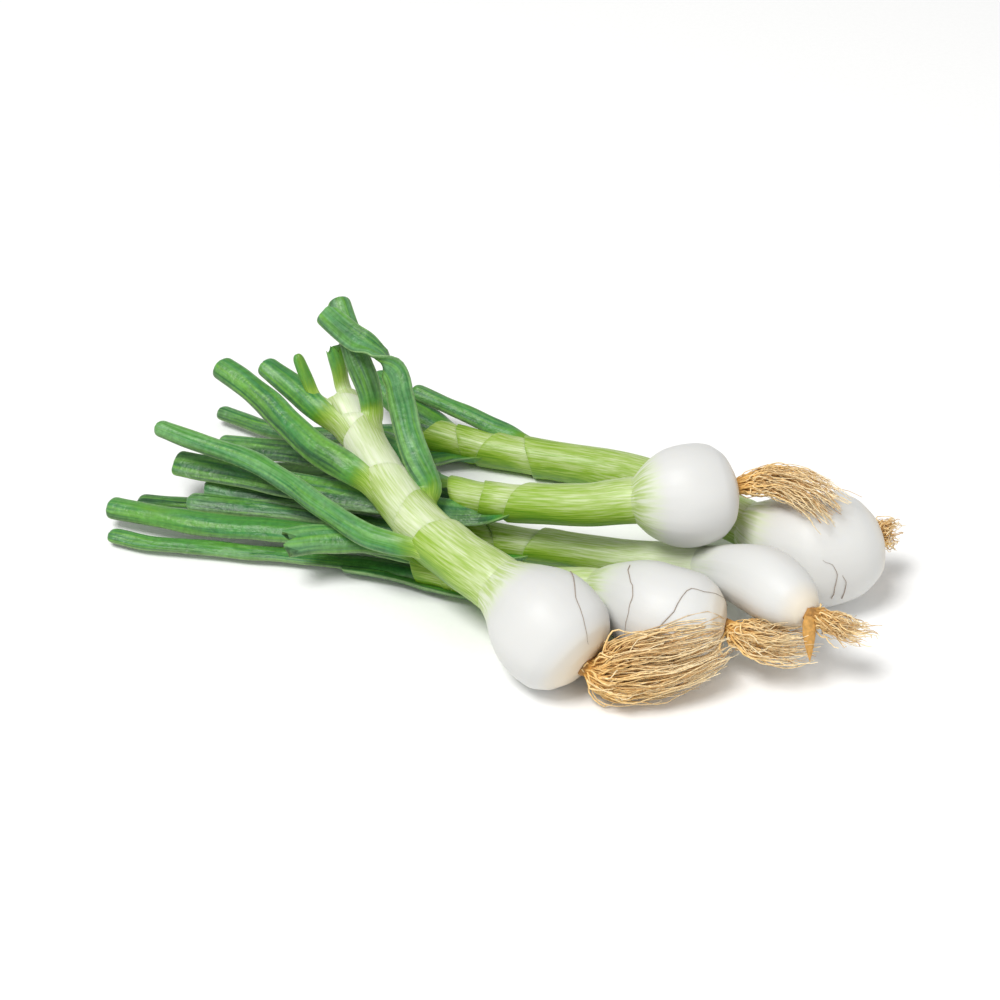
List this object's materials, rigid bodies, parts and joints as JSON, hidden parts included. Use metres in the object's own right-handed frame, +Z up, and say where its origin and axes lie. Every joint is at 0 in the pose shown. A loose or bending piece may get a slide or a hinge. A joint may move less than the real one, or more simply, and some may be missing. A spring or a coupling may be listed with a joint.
{
  "type": "spring onion bunch",
  "caption": "Loose pile of large-bulbed spring onions lying down, with white bulbs, straw root tufts and trimmed green leaves.",
  "frame": {"origin": "middle of the pile's footprint, on the surface that it lies on", "axes": "+Z up, +X along the pile from the leaf ends to the bulbs, +Y to the back"},
  "size_m": [0.3327, 0.2064, 0.0886],
  "materials": {
    "bulb": "smooth, moist, pearly skin",
    "leaf": "waxy leaf with fine lengthwise veins, pale towards the bulb",
    "root": "dry, fibrous"
  },
  "bodies": {
    "root": {"front_leaf_1": "leaf", "front_leaf_2": "leaf", "front_leaf_3": "leaf", "front_leaf_4": "leaf", "front_leaf_5": "leaf", "front_leaf_6": "leaf", "front_leaf_7": "leaf", "front_bulb": "bulb", "front_roots": "root", "round_leaf_1": "leaf", "round_leaf_2": "leaf", "round_leaf_3": "leaf", "round_bulb": "bulb", "round_roots": "root", "low_leaf_1": "leaf", "low_leaf_2": "leaf", "low_leaf_3": "leaf", "low_leaf_4": "leaf", "low_bulb": "bulb", "low_roots": "root", "long_leaf_1": "leaf", "long_leaf_2": "leaf", "long_leaf_3": "leaf", "long_bulb": "bulb", "long_roots": "root", "back_leaf_1": "leaf", "back_leaf_2": "leaf", "back_leaf_3": "leaf", "back_leaf_4": "leaf", "back_bulb": "bulb", "back_roots": "root"}
  },
  "joints": []
}
